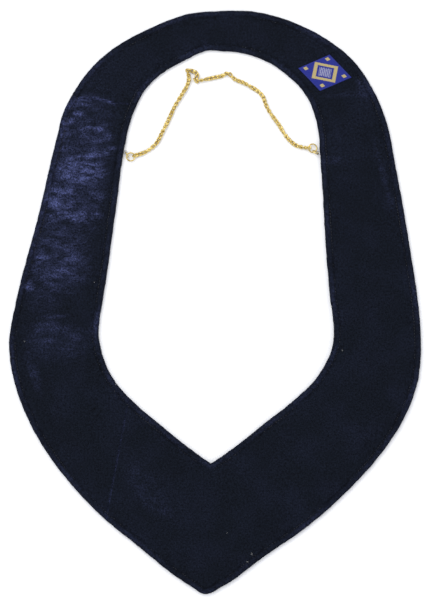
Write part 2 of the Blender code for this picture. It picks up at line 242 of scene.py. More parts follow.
def colour_property(name, description, hex_colour):
    """A colour that a user can change."""
    return FloatVectorProperty(
        name=name, description=description, default=linear(hex_colour), size=4, min=0.0, max=1.0,
        subtype="COLOR",
    )


def length_property(name, description, millimetres):
    """A length that a user can change."""
    return FloatProperty(
        name=name, description=description, default=millimetres * MM, min=0.0, soft_max=0.01,
        precision=5, unit="LENGTH", subtype="DISTANCE",
    )


class VelvetSettings(bpy.types.PropertyGroup):
    pile: colour_property("Pile", "Colour of the upright pile", "#0c1018")
    # The crushed colour is the painted sheen of pressed pile, not a dye
    crushed_sheen: colour_property("Crushed pile", "Colour where the pile is pressed flat", "#3d4368")
    puff: length_property("Puff", "How far the band swells between its rows of stitching", 0.5)
    pucker: length_property("Pucker", "Height of the gathers beside the stitching", 0.14)
    fuzz: length_property("Fuzz", "Length of the loose pile on the rolled edges", 0.2)


class GoldSettings(bpy.types.PropertyGroup):
    plate: colour_property("Plate", "Colour of the gold plate", "#ddc77e")
    wire_sides: IntProperty(name="Wire sides", description="Sides of the modelled wire",
                            default=WIRE_SIDES, min=6, max=32)


class LabelSettings(bpy.types.PropertyGroup):
    ground: colour_property("Ground", "Colour of the woven ground", "#1a247a")
    figure: colour_property("Figure", "Colour of the gold threads", "#a89868")
    pale: colour_property("Pale threads", "Colour of the pale threads", "#a0a0b8")


class StageSettings(bpy.types.PropertyGroup):
    floor: colour_property("Floor", "Colour of the surface under the collar", "#f4f4f4")
    key: FloatProperty(name="Key light", description="Strength of the large soft light", default=16.0,
                       min=0.0, unit="POWER")
    fill: FloatProperty(name="Fill light", description="Strength of the two side lights", default=6.0,
                        min=0.0, unit="POWER")
    sky: FloatProperty(name="Surround", description="Strength of the light from all round", default=0.85,
                       min=0.0)


class CollarSettings(bpy.types.PropertyGroup):
    velvet: PointerProperty(type=VelvetSettings)
    gold: PointerProperty(type=GoldSettings)
    label: PointerProperty(type=LabelSettings)
    stage: PointerProperty(type=StageSettings)


# Shader nodes

SHARE, FIRST, SECOND = 0, 6, 7      # inputs of a Mix node that mixes colours


def add(tree, kind, inputs=None, **settings):
    """Add a shader node; inputs are values, or the nodes and sockets that feed them."""
    made = tree.nodes.new("ShaderNode" + kind)
    for name, value in settings.items():
        setattr(made, name, value)
    for key, value in (inputs or {}).items():
        if isinstance(value, bpy.types.Node):
            value = next(socket for socket in value.outputs if socket.enabled)
        if isinstance(value, bpy.types.NodeSocket):
            tree.links.new(value, made.inputs[key])
        else:
            made.inputs[key].default_value = value
    return made


def new_material(name):
    """An empty material and its node tree."""
    made = bpy.data.materials.new(name)
    made.use_nodes = True
    made.node_tree.nodes.clear()
    return made, made.node_tree


def cotton_velvet(settings):
    """Dyed cotton velvet, woven with a cut pile: it drinks the light, and shines where it is bent."""
    made, tree = new_material("navy_cotton_velvet")
    place = add(tree, "TexCoord").outputs["Object"]
    nap_sheen = add(tree, "Attribute", attribute_name="nap_sheen").outputs["Fac"]
    # Painted highlight where the pile parts along the edges, seams and creases
    part = add(tree, "Attribute", attribute_name="part").outputs["Fac"]
    sunk = add(tree, "Attribute", attribute_name="sunk").outputs["Fac"]
    # Pile tufts are 0.3 mm apart; drawn at 1.8 mm, so that they show from two metres
    tufts = add(tree, "TexNoise", {"Vector": place, "Scale": 1 / (1.8 * MM), "Detail": 4.0,
                                   "Roughness": 0.85})
    # The pile lies over in streaks along the weft, 4 mm wide and 10 mm long, that run into each other;
    # the painted sheen of the crushed pile follows them
    drift = add(tree, "TexNoise", {"Vector": place, "Scale": 1 / (14 * MM), "Detail": 2.0})
    bent = add(tree, "VectorMath", {0: drift.outputs["Color"], 1: (0.0, 0.010, 0.0), 2: place},
               operation="MULTIPLY_ADD")
    weft = add(tree, "VectorMath", {0: bent, 1: (1 / (10 * MM), 1 / (4.2 * MM), 1 / (4.2 * MM))},
               operation="MULTIPLY")
    streaks = add(tree, "TexNoise", {"Vector": weft, "Scale": 1.0, "Detail": 5.0, "Roughness": 0.70})
    # Handling leaves the pile brushed, painted a little lighter as sheen in clouds of 30 to 50 mm
    clouds = add(tree, "TexNoise", {"Vector": place, "Scale": 1 / (38 * MM), "Detail": 4.0,
                                    "Roughness": 0.6})
    grain = add(tree, "MapRange", {"Value": tufts, "From Min": 0.34, "From Max": 0.66})
    streak_sheen = add(tree, "MapRange", {"Value": streaks, "From Min": 0.34, "From Max": 0.62})
    streak_sheen = add(tree, "Math", {0: streak_sheen, 1: nap_sheen}, operation="MULTIPLY")
    speckle = add(tree, "Math", {0: grain, 1: 1.5, 2: 0.22}, operation="MULTIPLY_ADD")
    streak_sheen = add(tree, "Math", {0: streak_sheen, 1: speckle}, operation="MULTIPLY")
    haze = add(tree, "MapRange", {"Value": clouds, "From Min": 0.42, "From Max": 0.78, "To Max": 0.05})
    parted_sheen = add(tree, "Math", {0: part, 1: speckle}, operation="MULTIPLY")
    lightened = add(tree, "Math", {0: streak_sheen, 1: haze}, operation="ADD")
    lightened = add(tree, "Math", {0: lightened, 1: parted_sheen}, operation="ADD", use_clamp=True)
    # Painted sheen: crushed, brushed and parted pile is mixed towards the lighter crushed colour
    colour = add(tree, "Mix", {SHARE: lightened, FIRST: settings.pile, SECOND: settings.crushed_sheen},
                 data_type="RGBA")
    shade = add(tree, "MapRange", {"Value": tufts, "From Min": 0.30, "From Max": 0.70, "To Max": 2.1})
    # Little light comes back out of the groove that the stitches pull down
    open_pile = add(tree, "Math", {0: 1.0, 1: sunk}, operation="SUBTRACT")
    shade = add(tree, "Math", {0: shade, 1: open_pile}, operation="MULTIPLY")
    colour = add(tree, "VectorMath", {0: colour, "Scale": shade}, operation="SCALE")
    normal = add(tree, "Bump", {"Height": tufts, "Distance": 0.25 * MM, "Strength": 0.8})
    shader = add(tree, "BsdfPrincipled", {
        "Base Color": colour, "Normal": normal, "Roughness": 0.95, "IOR": 1.5,
        "Specular IOR Level": 0.08, "Sheen Weight": 0.055, "Sheen Roughness": 0.5,
        "Sheen Tint": linear("#5c66b0"),
    })
    add(tree, "OutputMaterial", {"Surface": shader})
    return made


def polyester_thread(name, hex_colour):
    """Spun polyester sewing thread, two plies twisted together: dull, with a fine slant."""
    made, tree = new_material(name)
    place = add(tree, "TexCoord").outputs["Object"]
    # The plies of the thread cross it every 0.5 mm; the grooves between them are painted darker as shade
    twist = add(tree, "TexWave", {"Vector": place, "Scale": 0.05 / (0.5 * MM), "Distortion": 1.0},
                bands_direction="DIAGONAL")
    twist = twist.outputs["Fac"]
    base = linear(hex_colour)
    dark = [channel * 0.6 for channel in base[:3]] + [1.0]
    colour = add(tree, "Mix", {SHARE: twist, FIRST: dark, SECOND: base}, data_type="RGBA")
    shader = add(tree, "BsdfPrincipled", {
        "Base Color": colour, "Roughness": 0.7, "Sheen Weight": 0.2,
        "Normal": add(tree, "Bump", {"Height": twist, "Distance": 0.05 * MM}),
    })
    add(tree, "OutputMaterial", {"Surface": shader})
    return made


def gold_plated_brass(settings):
    """Drawn brass wire, bent and flash plated with gold: bright, warm, with fine drawing lines."""
    made, tree = new_material("gold_plated_brass")
    place = add(tree, "TexCoord").outputs["Object"]
    # Tarnish and painted darker reflections lie in patches of about 2.5 mm, and drawing lines are 0.3 mm
    # apart
    tarnish_and_reflection = add(tree, "TexNoise", {"Vector": place, "Scale": 1 / (2.5 * MM), "Detail": 3.0,
                                     "Roughness": 0.6})
    lines = add(tree, "TexNoise", {"Vector": place, "Scale": 1 / (0.3 * MM), "Detail": 2.0})
    plate_share = add(tree, "MapRange", {"Value": tarnish_and_reflection, "From Min": 0.34, "From Max": 0.56})
    # The dark colour is partly tarnish and partly painted dark reflection
    dark = [channel * share for channel, share in zip(settings.plate[:3], (0.50, 0.42, 0.24))] + [1.0]
    colour = add(tree, "Mix", {SHARE: plate_share, FIRST: dark, SECOND: settings.plate}, data_type="RGBA")
    rough = add(tree, "MapRange", {"Value": lines, "From Min": 0.3, "From Max": 0.7,
                                   "To Min": 0.18, "To Max": 0.36})
    shader = add(tree, "BsdfPrincipled", {
        "Base Color": colour, "Metallic": 1.0, "Roughness": rough,
        "Normal": add(tree, "Bump", {"Height": lines, "Distance": 0.02 * MM}),
    })
    add(tree, "OutputMaterial", {"Surface": shader})
    return made


def damask_label(settings):
    """Damask woven polyester: floats of blue, gold and pale thread, faintly glossy and finely ribbed."""
    made, tree = new_material("woven_polyester_damask")
    spot = add(tree, "Attribute", attribute_name="label").outputs["Vector"]
    # Threads are 0.35 mm apart; drawn at 0.9 mm, so that the steps of the figures show
    cell = 0.9 * MM
    woven = add(tree, "VectorMath", {0: spot, 1: (cell, cell, cell)}, operation="SNAP")
    split = add(tree, "SeparateXYZ", {0: add(tree, "VectorMath", {0: woven}, operation="ABSOLUTE")})
    side, end = split.outputs[0], split.outputs[1]
    reach = add(tree, "Math", {0: side, 1: end}, operation="ADD")
    # A gold lozenge filled with a pale lattice, and a small gold square in each corner
    ring = add(tree, "Math", {0: reach, 1: LOZENGE * MM, 2: LOZENGE_WIDE / 2 * MM}, operation="COMPARE")
    in_side, in_end = (
        add(tree, "Math", {0: part, 1: CORNER_AT * MM, 2: CORNER_HALF * MM}, operation="COMPARE")
        for part in (side, end)
    )
    square = add(tree, "Math", {0: in_side, 1: in_end}, operation="MULTIPLY")
    gold = add(tree, "Math", {0: ring, 1: square}, operation="MAXIMUM")
    # The lattice's cells are 1.1 mm wide
    check = add(tree, "TexChecker", {"Vector": spot, "Scale": 1 / (1.1 * MM)})
    filling = add(tree, "Math", {0: reach, 1: (LOZENGE - LOZENGE_WIDE) * MM}, operation="LESS_THAN")
    pale = add(tree, "Math", {0: filling, 1: check.outputs["Fac"]}, operation="MULTIPLY")
    colour = add(tree, "Mix", {SHARE: gold, FIRST: settings.ground, SECOND: settings.figure},
                 data_type="RGBA")
    colour = add(tree, "Mix", {SHARE: pale, FIRST: colour, SECOND: settings.pale}, data_type="RGBA")
    # Ribs of the weft, one for each drawn thread, with painted shade in the troughs between them, and
    # threads that aren't all as bright
    ribs = add(tree, "VectorMath", {0: spot, 1: (0.0, 1 / cell, 0.0)}, operation="MULTIPLY")
    ribs = add(tree, "Math", {0: add(tree, "SeparateXYZ", {0: ribs}).outputs[1], 1: 0.5},
               operation="PINGPONG")
    fibres = add(tree, "TexNoise", {"Vector": spot, "Scale": 1 / (0.7 * MM), "Detail": 2.0})
    rib_shade = add(tree, "MapRange", {"Value": ribs, "From Max": 0.5, "To Min": 0.80, "To Max": 1.10})
    streaked = add(tree, "MapRange", {"Value": fibres, "From Min": 0.3, "From Max": 0.7,
                                      "To Min": 0.80, "To Max": 1.20})
    shade = add(tree, "Math", {0: rib_shade, 1: streaked}, operation="MULTIPLY")
    colour = add(tree, "VectorMath", {0: colour, "Scale": shade}, operation="SCALE")
    raised = add(tree, "Math", {0: gold, 1: pale}, operation="MAXIMUM")
    height = add(tree, "Math", {0: ribs, 1: raised}, operation="ADD")
    shader = add(tree, "BsdfPrincipled", {
        "Base Color": colour, "Roughness": 0.6, "Specular IOR Level": 0.2, "Sheen Weight": 0.04,
        "Sheen Roughness": 0.3,
        "Normal": add(tree, "Bump", {"Height": height, "Distance": 0.10 * MM}),
    })
    add(tree, "OutputMaterial", {"Surface": shader})
    return made


def cotton_lint():
    """Loose cotton fluff, picked up and felted: pale grey and matt."""
    made, tree = new_material("cotton_lint")
    place = add(tree, "TexCoord").outputs["Object"]
    spots = add(tree, "TexNoise", {"Vector": place, "Scale": 1 / (0.6 * MM), "Detail": 2.0})
    colour = add(tree, "Mix", {SHARE: spots, FIRST: linear("#56565c"), SECOND: linear("#8a8b88")},
                 data_type="RGBA")
    shader = add(tree, "BsdfPrincipled", {
        "Base Color": colour, "Roughness": 0.95, "Sheen Weight": 0.3,
    })
    add(tree, "OutputMaterial", {"Surface": shader})
    return made


def emulsion_board(settings):
    """Board with matt white emulsion, rolled on: an even pale ground."""
    made, tree = new_material("white_emulsion_board")
    place = add(tree, "TexCoord").outputs["Object"]
    # The roller leaves a skin of 2.5 mm dimples
    dimples = add(tree, "TexNoise", {"Vector": place, "Scale": 1 / (2.5 * MM), "Detail": 2.0})
    tint = [channel * 0.985 for channel in settings.floor[:3]] + [1.0]
    colour = add(tree, "Mix", {SHARE: dimples, FIRST: tint, SECOND: settings.floor}, data_type="RGBA")
    shader = add(tree, "BsdfPrincipled", {"Base Color": colour, "Roughness": 0.85})
    add(tree, "OutputMaterial", {"Surface": shader})
    return made


# Meshes

def mesh_piece(name, parts, finish, slot, smooth=True, stands_for=()):
    """Put parts, each some points and faces, in the scene as one mesh that stands for some nodes."""
    points, faces = joined(parts)
    mesh = bpy.data.meshes.new(name)
    mesh.from_pydata([tuple(point) for point in points], [], [tuple(face) for face in faces])
    mesh.validate()
    if smooth:
        mesh.shade_smooth()
    mesh.materials.append(finish)
    piece = bpy.data.objects.new(name, mesh)
    bpy.context.scene.collection.objects.link(piece)
    if slot:
        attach(piece, "root")
    if stands_for:
        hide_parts(*stands_for)
    return piece


def write_attribute(piece, name, kind, values):
    """Give each point of a piece its value of an attribute that the materials read."""
    made = piece.data.attributes.new(name, kind, "POINT")
    field = "vector" if kind == "FLOAT_VECTOR" else "value"
    made.data.foreach_set(field, np.asarray(values, np.float32).ravel())


def joined(parts):
    """One list of points and one of faces from several."""
    points, faces, start = [], [], 0
    for some_points, some_faces in parts:
        points.append(some_points)
        faces += [[corner + start for corner in face] for face in some_faces]
        start += len(some_points)
    return np.concatenate(points), faces


def grid_faces(rows, columns, close_rows=False, close_columns=False):
    """Quads of a grid of points stored row by row, joined end to end where asked."""
    row = np.arange(rows if close_rows else rows - 1)
    column = np.arange(columns if close_columns else columns - 1)
    row, column = (part.ravel() for part in np.meshgrid(row, column, indexing="ij"))
    next_row, next_column = (row + 1) % rows, (column + 1) % columns
    return np.stack([
        row * columns + column, row * columns + next_column,
        next_row * columns + next_column, next_row * columns + column,
    ], axis=1)


def closed_ply(top, base):
    """Rings of points round a ply, with a flat coarse underside added to its top, and their faces."""
    under = top[:, -2:0:-UNDER_STEP].copy()
    under[:, :, 2] = base
    rings = np.concatenate([top, under], axis=1)
    rows, around = rings.shape[:2]
    faces = grid_faces(rows, around, close_columns=True)[:, ::-1].tolist()
    faces.append(list(range(around)))
    faces.append([(rows - 1) * around + column for column in range(around)][::-1])
    return rings, faces


def wire_points(path, along, aside, radius, sides):
    """Points in rings round a path, given its direction and a square one at each of its points."""
    above = np.cross(aside, along)
    turn = np.arange(sides) * 2 * math.pi / sides
    ring = aside[:, None] * np.cos(turn)[None, :, None] + above[:, None] * np.sin(turn)[None, :, None]
    return (path[:, None] + ring * radius).reshape(-1, 3)


def tube(path, radius, sides, taper=1.0):
    """Points and faces of a round thread along a path that lies about level."""
    along = np.roll(path, -1, axis=0) - np.roll(path, 1, axis=0)
    along[0], along[-1] = path[1] - path[0], path[-1] - path[-2]
    along = unit(along)
    aside = unit(np.cross(along, (0.0, 0.0, 1.0)))
    radii = radius * np.broadcast_to(taper, len(path))
    points = wire_points(path, along, aside, radii[:, None, None], sides)
    faces = grid_faces(len(path), sides, close_columns=True).tolist()
    faces.append(list(range(sides)))
    faces.append([(len(path) - 1) * sides + side for side in range(sides)][::-1])
    return points, faces


def closed_wire(path, thick, sides):
    """Points and faces of a round wire bent into a closed loop."""
    along = unit(np.roll(path, -1, axis=0) - np.roll(path, 1, axis=0))
    _values, axes = np.linalg.eigh(np.cov((path - path.mean(axis=0)).T))
    aside = unit(np.cross(along, axes[:, 0]))
    points = wire_points(path, along, aside, thick / 2, sides)
    return points, grid_faces(len(path), sides, close_rows=True, close_columns=True).tolist()


# Measures

def unit(vectors):
    """Rows of vectors, each brought to a length of one."""
    return vectors / np.linalg.norm(vectors, axis=1)[:, None]


def lengths_along(line):
    """How far along a line each of its points lies."""
    return np.concatenate([[0.0], np.cumsum(np.linalg.norm(np.diff(line, axis=0), axis=1))])


def places_on(line, lengths, spots):
    """Points of a flat line at some lengths along it."""
    return np.column_stack([np.interp(spots, lengths, line[:, axis]) for axis in (0, 1)])


def bell(distance, wide):
    """One in the middle, falling softly to nothing."""
    return np.exp(-(distance / wide) ** 2)


def roll(distance, reach):
    """Height of a rolled edge, as a share, at a distance from it."""
    return np.sqrt(1 - (1 - np.clip(distance / reach, 0.0, 1.0)) ** 2)


def smooth_steps(value):
    """From nothing at 0 to one at 1, level at both ends."""
    value = np.clip(value, 0.0, 1.0)
    return value * value * (3 - 2 * value)


def wander(place, seed, size, count=14):
    """Smooth seeded waves over 2D places, about size apart and mostly within one."""
    rng = np.random.default_rng(seed)
    turn = rng.uniform(0, 2 * math.pi, count)
    rate = 2 * math.pi / (size * rng.uniform(0.7, 1.8, count))
    start = rng.uniform(0, 2 * math.pi, count)
    total = np.zeros(len(place))
    for angle, speed, shift in zip(turn, rate, start):
        along = place[:, 0] * math.cos(angle) + place[:, 1] * math.sin(angle)
        total += np.sin(along * speed + shift)
    return total / math.sqrt(count)


def uneven(place, seed, size, middle, swing, least=0.0):
    """A share that wanders round its middle, between the least and one."""
    return np.clip(middle + swing * wander(place, seed, size), least, 1.0)


def node_points(node):
    """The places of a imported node's points, in metres."""
    return np.array([tuple(vert.co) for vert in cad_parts[node].data.vertices])


def main_axes(node):
    """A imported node's middle, its directions from longest to shortest, and its sizes along them."""
    points = np.unique(np.round(node_points(node), 6), axis=0)
    middle = (points.max(axis=0) + points.min(axis=0)) / 2
    _values, axes = np.linalg.eigh(np.cov((points - points.mean(axis=0)).T))
    spread = (points - middle) @ axes
    return middle, axes[:, ::-1], (spread.max(axis=0) - spread.min(axis=0))[::-1]


# Outline of the band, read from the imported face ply

def rim_loops():
    """The face ply's outer and inner edge at its top, in mm, each in order from the front point."""
    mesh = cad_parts["front_velvet"].data
    # Only the top face has all its corners this high
    above = 0.7 * FACE_TOP * MM
    places, numbers = [], {}
    uses, nearby = defaultdict(int), defaultdict(list)

    def number(vert):
        key = tuple(round(part, 6) for part in mesh.vertices[vert].co)
        if key not in numbers:
            numbers[key] = len(places)
            places.append(key)
        return numbers[key]

    for face in mesh.polygons:
        corners = [number(vert) for vert in face.vertices]
        if all(places[corner][2] > above for corner in corners):
            for first, second in zip(corners, corners[1:] + corners[:1]):
                uses[frozenset((first, second))] += 1
    for edge, times in uses.items():
        if times == 1:
            first, second = edge
            nearby[first].append(second)
            nearby[second].append(first)
    loops = []
    left = set(nearby)
    while left:
        start = min(left, key=lambda vert: places[vert][1])
        following = min(nearby[start], key=lambda vert: places[vert][0])
        loop = [start]
        while following != start:
            loop.append(following)
            following = next(vert for vert in nearby[following] if vert != loop[-2])
        left -= set(loop)
        loops.append(np.array([places[vert][:2] for vert in loop]) / MM)
    outer, inner = sorted(loops, key=lambda loop: loop[:, 1].min())
    return outer, inner


def hermite(points, slopes, spans, where):
    """Points on a smooth curve at places counted in its rows."""
    row = np.minimum(where.astype(int), len(spans) - 1)
    share = (where - row)[:, None]
    span = spans[row][:, None]
    square, cube = share ** 2, share ** 3
    return (
        (2 * cube - 3 * square + 1) * points[row]
        + (cube - 2 * square + share) * span * slopes[row]
        + (3 * square - 2 * cube) * points[row + 1]
        + (cube - square) * span * slopes[row + 1]
    )


def smooth_loop(loop, corner_at_start):
    """A function that gives points of a closed loop, kept sharp at its start where asked."""
    points = np.vstack([loop, loop[:1]])
    steps = np.diff(points, axis=0)
    spans = np.linalg.norm(steps, axis=1)
    rates = steps / spans[:, None]
    slopes = np.zeros_like(points)
    weight = spans[:-1, None] / (spans[:-1, None] + spans[1:, None])
    slopes[1:-1] = rates[:-1] * (1 - weight) + rates[1:] * weight
    slopes[0], slopes[-1] = rates[0], rates[-1]
    if not corner_at_start:
        slopes[0] = slopes[-1] = (rates[0] + rates[-1]) / 2
    return lambda where: hermite(points, slopes, spans, where)


def drawn_in(edge):
    """How far the edge lies inside its pattern, in mm: sewn by hand, it isn't ruled."""
    share = 0.5 + 0.35 * wander(edge, seed=41, size=11.0) + 0.2 * wander(edge, seed=43, size=3.0)
    return EDGE_WAVE * np.clip(share, 0.0, 1.0)


class Band:
    """The outline of the collar, and rows of points across it."""

    def __init__(self):
        outer, inner = rim_loops()
        self.count = len(outer)
        self.outer = smooth_loop(outer, corner_at_start=False)
        self.inner = smooth_loop(inner, corner_at_start=True)
        middle = (outer + inner) / 2
        once = lengths_along(np.vstack([middle, middle[:1]]))
        # Twice round, because a piece may run on past the front point
        self.run = np.concatenate([once, once[1:] + once[-1]])
        self.seams = self.find_seams(outer)

    def find_seams(self, outer):
        """The two rows where the pieces of back velvet meet, in order from the front point."""
        pieces = [node_points(name)[:, :2] / MM for name in ("back_velvet_left", "back_velvet_main")]
        gaps = [np.linalg.norm(outer[:, None] - piece[None], axis=2).min(axis=1) for piece in pieces]
        rows = np.nonzero(np.maximum(*gaps) < SEAM_REACH)[0]
        return float(rows.min()), float(rows.max())

    def rows(self, start, end, step=GRID_STEP):
        """Places along the band, in its own rows, about a step apart."""
        first, last = self.length_to(start), self.length_to(end)
        count = max(2, int(round((last - first) / step)) + 1)
        return np.interp(np.linspace(first, last, count), self.run, np.arange(len(self.run)))

    def all_round(self, step=GRID_STEP):
        """The same for the whole band, from the front point back to it."""
        return self.rows(0.0, float(self.count), step)

    def length_to(self, row):
        """How far along the band a row lies, or each of several rows, in mm."""
        return np.interp(row, np.arange(len(self.run)), self.run)

    def edges(self, rows):
        """Outer and inner edge points at rows, which may run past the front point."""
        turned = np.mod(rows, self.count)
        outer, inner = self.outer(turned), self.inner(turned)
        across = unit(outer - inner)
        return outer - across * drawn_in(outer)[:, None], inner + across * drawn_in(inner)[:, None]


# Velvet

def across_columns(width):
    """Shares of the band's width, closer together near its edges."""
    near = np.arange(0.0, EDGE_BAND, EDGE_STEP)
    middle = np.linspace(EDGE_BAND, width - EDGE_BAND, MIDDLE_COLUMNS)
    return np.concatenate([near, middle, (width - near)[::-1]]) / width


def obliqueness(points, across):
    """How squarely each row crosses an edge, from 0 to 1, as a column."""
    along = unit(np.gradient(points, axis=0))
    square = np.abs(along[:, 0] * across[:, 1] - along[:, 1] * across[:, 0])
    return np.clip(square, 0.35, 1.0)[:, None]


def cloth_grid(band, start, end):
    """Places of a cloth's points, their distances from both edges, and the rows' along the band."""
    rows = band.rows(start, end)
    outer, inner = band.edges(rows)
    width = np.linalg.norm(outer - inner, axis=1)
    across = unit(outer - inner)
    from_inner = across_columns(float(np.median(width)))[None] * width[:, None]
    places = inner[:, None] + across[:, None] * from_inner[:, :, None]
    from_outer = (width[:, None] - from_inner) * obliqueness(outer, across)
    return places, from_inner * obliqueness(inner, across), from_outer, band.length_to(rows)


def crease_shape(places):
    """Height and shine that the creases give to places."""
    height, shine = np.zeros(len(places)), np.zeros(len(places))
    for from_x, from_y, to_x, to_y, depth, wide, light in CREASES:
        start = np.array((from_x, from_y))
        line = np.array((to_x, to_y)) - start
        length = np.linalg.norm(line)
        share = ((places - start) @ line) / length ** 2
        square = np.array((-line[1], line[0])) / length
        # The fold isn't ruled: it bows by 1.2 mm along its length, and fades out at its ends
        off = (places - start) @ square - 1.2 * np.sin(np.clip(share, 0, 1) * math.pi)
        ends = smooth_steps((share + 0.10) / 0.2) * smooth_steps((1.10 - share) / 0.2)
        # A ridge with a shallower valley beside it; the light catches only the crest
        height += depth * (bell(off, wide) - 0.7 * bell(off + 1.6 * wide, wide)) * ends
        shine += light * bell(off, 0.55 * wide) * ends
    return height, shine


def crushed_sheen_share(places):
    """How far the pile is pressed down at places, which sets how much painted sheen it gets."""
    total = np.zeros(len(places))
    for x, y, long, wide, turn, amount in CRUSHED_SHEEN:
        angle = math.radians(turn)
        offset = places - np.array((x, y))
        along = (offset[:, 0] * math.cos(angle) + offset[:, 1] * math.sin(angle)) / (long / 2)
        aside = (offset[:, 1] * math.cos(angle) - offset[:, 0] * math.sin(angle)) / (wide / 2)
        # One at the patch's own outline; it fades from inside that to outside it
        near = np.sqrt(along ** 2 + aside ** 2)
        total = np.maximum(total, amount * smooth_steps((1.35 - near) / 0.8))
    # The patches are drawn out across the band
    ragged = wander(places * (0.35, 1.0), seed=3, size=7.0)
    return np.clip(total * (1 + 0.35 * ragged), 0.0, 1.0)


def velvet_back(name, node, band, start, end, finish, settings):
    """A piece of back velvet: rolled at its edges, pulled in by the stitching, dipped at its seams."""
    places, from_inner, from_outer, along = cloth_grid(band, start, end)
    grid = from_inner.shape
    places = places.reshape(-1, 2)
    near = np.minimum(from_inner, from_outer).ravel()
    along = np.repeat(along, grid[1])
    from_seam = np.minimum(along - along.min(), along.max() - along)
    from_stitch = near - STITCH_INSET

    # Each stitch pulls hardest at its middle
    pull = 0.85 + 0.15 * np.cos(2 * math.pi * along / STITCH_PITCH)
    groove = GROOVE_DEEP * pull * bell(from_stitch, GROOVE_WIDE)
    puff = settings.puff / MM * smooth_steps(from_stitch / PUFF_REACH)
    # The gathers of one edge don't match those of the other
    side = np.where((from_inner < from_outer).ravel(), 0.0, 90.0)
    gathers = settings.pucker / MM * wander(np.stack([along, side], axis=1), seed=11, size=7.0)
    gathers *= bell(from_stitch, GATHER_WIDE)
    swell = SWELL_HIGH * wander(places, seed=5, size=60.0) * smooth_steps(near / SWELL_REACH)
    fold, fold_shine = crease_shape(places)
    dip = SEAM_DEEP * bell(from_seam, SEAM_WIDE)
    height = (BACK_TOP - BACK_BASE) * roll(near, EDGE_ROLL)
    height *= roll(from_seam + SEAM_START, SEAM_ROLL)
    height += (puff - groove + gathers + swell + fold - dip) * roll(near, SOFT_REACH)
    top = np.column_stack([places, BACK_BASE + np.maximum(height, 0.0)]).reshape(*grid, 3)
    rings, faces = closed_ply(top, BACK_BASE)
    parts = [(rings.reshape(-1, 3) * MM, faces)]
    piece = mesh_piece(name, parts, finish, "velvet", stands_for=(node,))

    # The pile parts along the rolled edges, the creases and the seams, where the light catches its
    # sides; that is painted in as a lighter colour
    edge_shine = EDGE_SHINE * bell(near - EDGE_SHINE_AT, wide=2.4)
    edge_shine *= uneven(np.stack([along, near], axis=1), seed=23, size=40.0, middle=0.5, swing=0.5,
                         least=0.1)
    seam_shine = np.where(places[:, 1] > 0, SHOULDER_SEAM_SHINE, FRONT_SEAM_SHINE)
    seam_shine *= uneven(places, seed=29, size=9.0, middle=0.7, swing=0.4, least=0.25)
    seam_shine *= bell(from_seam, wide=0.6) * roll(near, reach=6.0)
    fold_shine *= uneven(places, seed=29, size=9.0, middle=0.85, swing=0.35)
    shade = GROOVE_SHADE * uneven(places, seed=37, size=30.0, middle=0.75, swing=0.4)
    for attribute, values in (
        ("nap_sheen", crushed_sheen_share(places)),
        ("part", np.clip(edge_shine + seam_shine + fold_shine, 0.0, 1.0)),
        ("sunk", shade * bell(from_stitch, wide=1.1)),
    ):
        round_ply = np.zeros(rings.shape[:2])
        round_ply[:, :grid[1]] = values.reshape(grid)
        write_attribute(piece, attribute, "FLOAT", round_ply)
    return piece


def velvet_front(band, finish):
    """The face ply: a flat band with soft round edges, under the back ply."""
    outer, inner = band.edges(band.all_round()[:-1])
    wide = np.linalg.norm(outer - inner, axis=1)[:, None]
    bend = np.radians(np.linspace(-90, 90, 9))
    shares = np.linspace(0.08, 0.92, 14)
    level = np.ones(len(shares))
    # Up round the inner edge, across the top, down round the outer edge and back underneath
    inset = np.broadcast_to(FACE_ROLL * (1 - np.cos(bend)), (len(wide), len(bend)))
    offset = np.hstack([inset, shares * wide, wide - inset, shares[::-1] * wide])
    rise = np.concatenate([np.sin(bend), level, np.sin(bend)[::-1], -level])
    points = np.empty((*offset.shape, 3))
    points[..., :2] = inner[:, None] + unit(outer - inner)[:, None] * offset[..., None]
    points[..., 2] = FACE_TOP / 2 * (1 + rise)
    faces = grid_faces(*offset.shape, close_rows=True, close_columns=True).tolist()
    points = points.reshape(-1, 3)
    piece = mesh_piece("velvet_front", [(points * MM, faces)], finish, "velvet",
                       stands_for=("front_velvet",))
    # Faint patches of painted sheen, at random, on the face ply
    nap_sheen = 0.25 * uneven(points[:, :2], seed=8, size=18.0, middle=0.5, swing=0.5)
    write_attribute(piece, "nap_sheen", "FLOAT", nap_sheen)
    return piece


def lay_flat(ply):
    """Measure how far a ply reaches across, along and through; nothing uses the sizes."""
    points = np.array([vert.co for vert in ply.data.vertices])
    across, along, _thick = points.max(axis=0) - points.min(axis=0)


# Stitches, loose pile and lint

def topstitching(band, finish):
    """A row of sunk stitches inside each edge, as one mesh."""
    outer, inner = band.edges(band.all_round(0.5))
    height = BACK_TOP - STITCH_DOWN + THREAD_WIDE * 0.45 + np.array(STITCH_DIPS)
    parts = []
    for edge, far in ((inner, outer), (outer, inner)):
        across = unit(far - edge)
        line = edge + across * STITCH_INSET / obliqueness(edge, across)
        lengths = lengths_along(line)
        count = int(lengths[-1] / STITCH_PITCH)
        for middle in (np.arange(count) + 0.5) * lengths[-1] / count:
            spots = middle + np.linspace(-0.5, 0.5, len(height)) * STITCH_LONG
            path = np.column_stack([places_on(line, lengths, spots), height]) * MM
            parts.append(tube(path, THREAD_WIDE / 2 * MM, 5, taper=STITCH_TAPER))
    return mesh_piece("topstitching", parts, finish, "thread")


